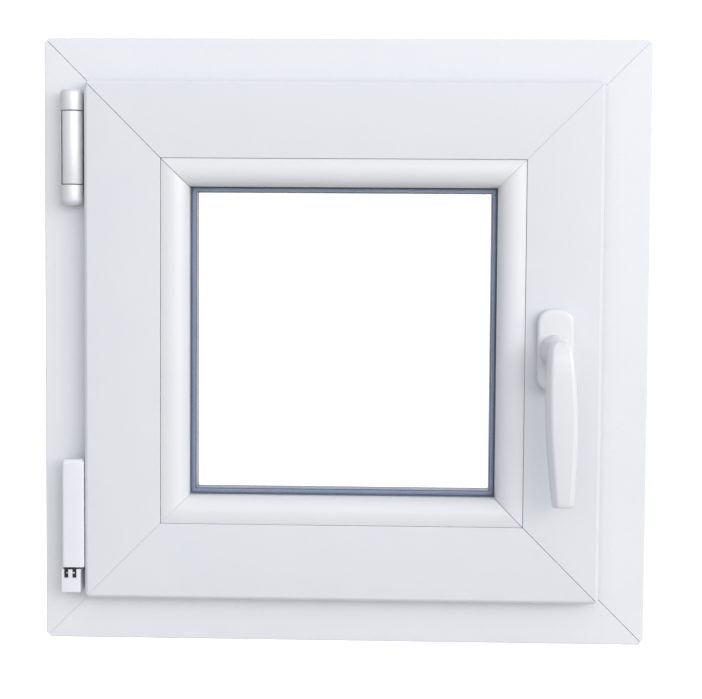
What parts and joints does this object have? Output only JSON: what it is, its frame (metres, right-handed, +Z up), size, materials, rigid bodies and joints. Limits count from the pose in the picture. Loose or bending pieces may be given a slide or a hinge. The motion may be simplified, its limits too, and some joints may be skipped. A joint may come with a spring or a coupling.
{
  "type": "tilt and turn window",
  "caption": "Square white uPVC tilt-and-turn window: mitred fixed frame, overlapping double-glazed sash on side hinges, lever handle driving edge locks.",
  "frame": {"origin": "middle of the frame's bottom outer face, at mid width and mid depth of the frame", "axes": "+Z up, +X towards the handle side, -X towards the hinges, -Y towards the room, +Y outdoors"},
  "size_m": [0.5, 0.1415, 0.5],
  "materials": {
    "white_upvc": "white extruded uPVC, satin to semi-gloss, faintly cool",
    "bead_upvc": "white co-extruded uPVC, semi-gloss",
    "white_lacquer": "white stoved lacquer on cast metal, satin gloss",
    "white_cover_plastic": "white moulded cover plastic, satin",
    "galvanised_steel": "galvanised steel section, dull spangle",
    "zinc_plated_steel": "zinc plated hardware steel, satin",
    "cast_zinc": "cast zinc alloy, fine grain",
    "grey_gasket": "grey elastomer seal, matte",
    "spacer_bar": "blue grey spacer bar between the panes, satin",
    "edge_sealant": "dark edge sealant, matte",
    "float_glass": "clear float glass, polished",
    "setting_block_plastic": "blue moulded setting block, matte"
  },
  "bodies": {
    "frame": {"frame_sill": "white_upvc", "frame_lock_jamb": "white_upvc", "frame_head": "white_upvc", "frame_hinge_jamb": "white_upvc", "frame_steel_sill": "galvanised_steel", "frame_steel_lock_jamb": "galvanised_steel", "frame_steel_head": "galvanised_steel", "frame_steel_hinge_jamb": "galvanised_steel", "frame_stop_gasket": "grey_gasket", "striker_lock_upper": "cast_zinc", "striker_lock_lower": "cast_zinc", "striker_head": "cast_zinc", "striker_sill": "cast_zinc", "corner_bearing": "zinc_plated_steel", "corner_bearing_cap": "white_cover_plastic", "stay_bearing_upper": "white_lacquer", "stay_bearing_lower": "white_lacquer", "upper_hinge_pin": "zinc_plated_steel", "drain_cap_left": "white_cover_plastic", "drain_cap_right": "white_cover_plastic"},
    "hinge_carrier": {"corner_swivel": "zinc_plated_steel"},
    "stay_arm": {"stay_arm": "white_lacquer", "stay_arm_rivet": "zinc_plated_steel"},
    "sash": {"sash_bottom_rail": "white_upvc", "sash_lock_stile": "white_upvc", "sash_top_rail": "white_upvc", "sash_hinge_stile": "white_upvc", "sash_steel_bottom_rail": "galvanised_steel", "sash_steel_lock_stile": "galvanised_steel", "sash_steel_top_rail": "galvanised_steel", "sash_steel_hinge_stile": "galvanised_steel", "glazing_bead_bottom_rail": "bead_upvc", "glazing_bead_lock_stile": "bead_upvc", "glazing_bead_top_rail": "bead_upvc", "glazing_bead_hinge_stile": "bead_upvc", "glass_pane_room": "float_glass", "glass_pane_outdoor": "float_glass", "glass_edge_seal": "edge_sealant", "glass_spacer": "spacer_bar", "glazing_gasket_room": "grey_gasket", "glazing_gasket_outdoor": "grey_gasket", "sash_overlap_gasket": "grey_gasket", "setting_block_left": "setting_block_plastic", "setting_block_right": "setting_block_plastic", "gearbox_case": "cast_zinc", "lock_faceplate": "zinc_plated_steel", "corner_hinge": "zinc_plated_steel", "corner_hinge_cover": "white_cover_plastic", "rosette_base": "cast_zinc", "rosette_cover": "white_lacquer", "handle_screw_upper": "zinc_plated_steel", "handle_screw_lower": "zinc_plated_steel"},
    "stay_slider": {"stay_slider": "zinc_plated_steel"},
    "handle": {"handle_lever": "white_lacquer", "handle_spindle": "zinc_plated_steel", "gearbox_pinion": "cast_zinc"},
    "lock_rod": {"lock_rod": "zinc_plated_steel"},
    "top_rod": {"top_rod": "zinc_plated_steel"},
    "bottom_rod": {"bottom_rod": "zinc_plated_steel"}
  },
  "joints": [
    {"name": "turn_hinge", "type": "hinge", "parent": "frame", "child": "hinge_carrier", "pos_m": [-0.2253, -0.045, 0.042], "axis": [0, 0, -1], "range_deg": [0, 95]},
    {"name": "tilt_hinge", "type": "hinge", "parent": "hinge_carrier", "child": "sash", "pos_m": [-0.2253, -0.045, 0.045], "axis": [1, 0, 0], "range_deg": [0, 8]},
    {"name": "stay_arm_swing", "type": "hinge", "parent": "hinge_carrier", "child": "stay_arm", "pos_m": [-0.2253, -0.045, 0.4483], "axis": [0, 0, -1], "range_deg": [0, 18]},
    {"name": "stay_slide", "type": "slide", "parent": "sash", "child": "stay_slider", "axis": [-1, 0, 0], "range_m": [0, 0.003]},
    {"name": "handle_turn", "type": "hinge", "parent": "sash", "child": "handle", "pos_m": [0.1716, -0.055, 0.2469], "axis": [0, 1, 0], "range_deg": [0, 180]},
    {"name": "lock_rod_slide", "type": "slide", "parent": "sash", "child": "lock_rod", "axis": [0, 0, -1], "range_m": [0, 0.0361]},
    {"name": "top_rod_slide", "type": "slide", "parent": "sash", "child": "top_rod", "axis": [1, 0, 0], "range_m": [0, 0.0361]},
    {"name": "bottom_rod_slide", "type": "slide", "parent": "sash", "child": "bottom_rod", "axis": [-1, 0, 0], "range_m": [0, 0.0361]}
  ],
  "couplings": [
    {"joint": "stay_arm_swing", "follows": "tilt_hinge", "ratio": 2.2375},
    {"joint": "stay_slide", "follows": "tilt_hinge", "m_per_rad": 0.02},
    {"joint": "lock_rod_slide", "follows": "handle_turn", "m_per_rad": 0.011459},
    {"joint": "top_rod_slide", "follows": "handle_turn", "m_per_rad": 0.011459},
    {"joint": "bottom_rod_slide", "follows": "handle_turn", "m_per_rad": 0.011459}
  ]
}
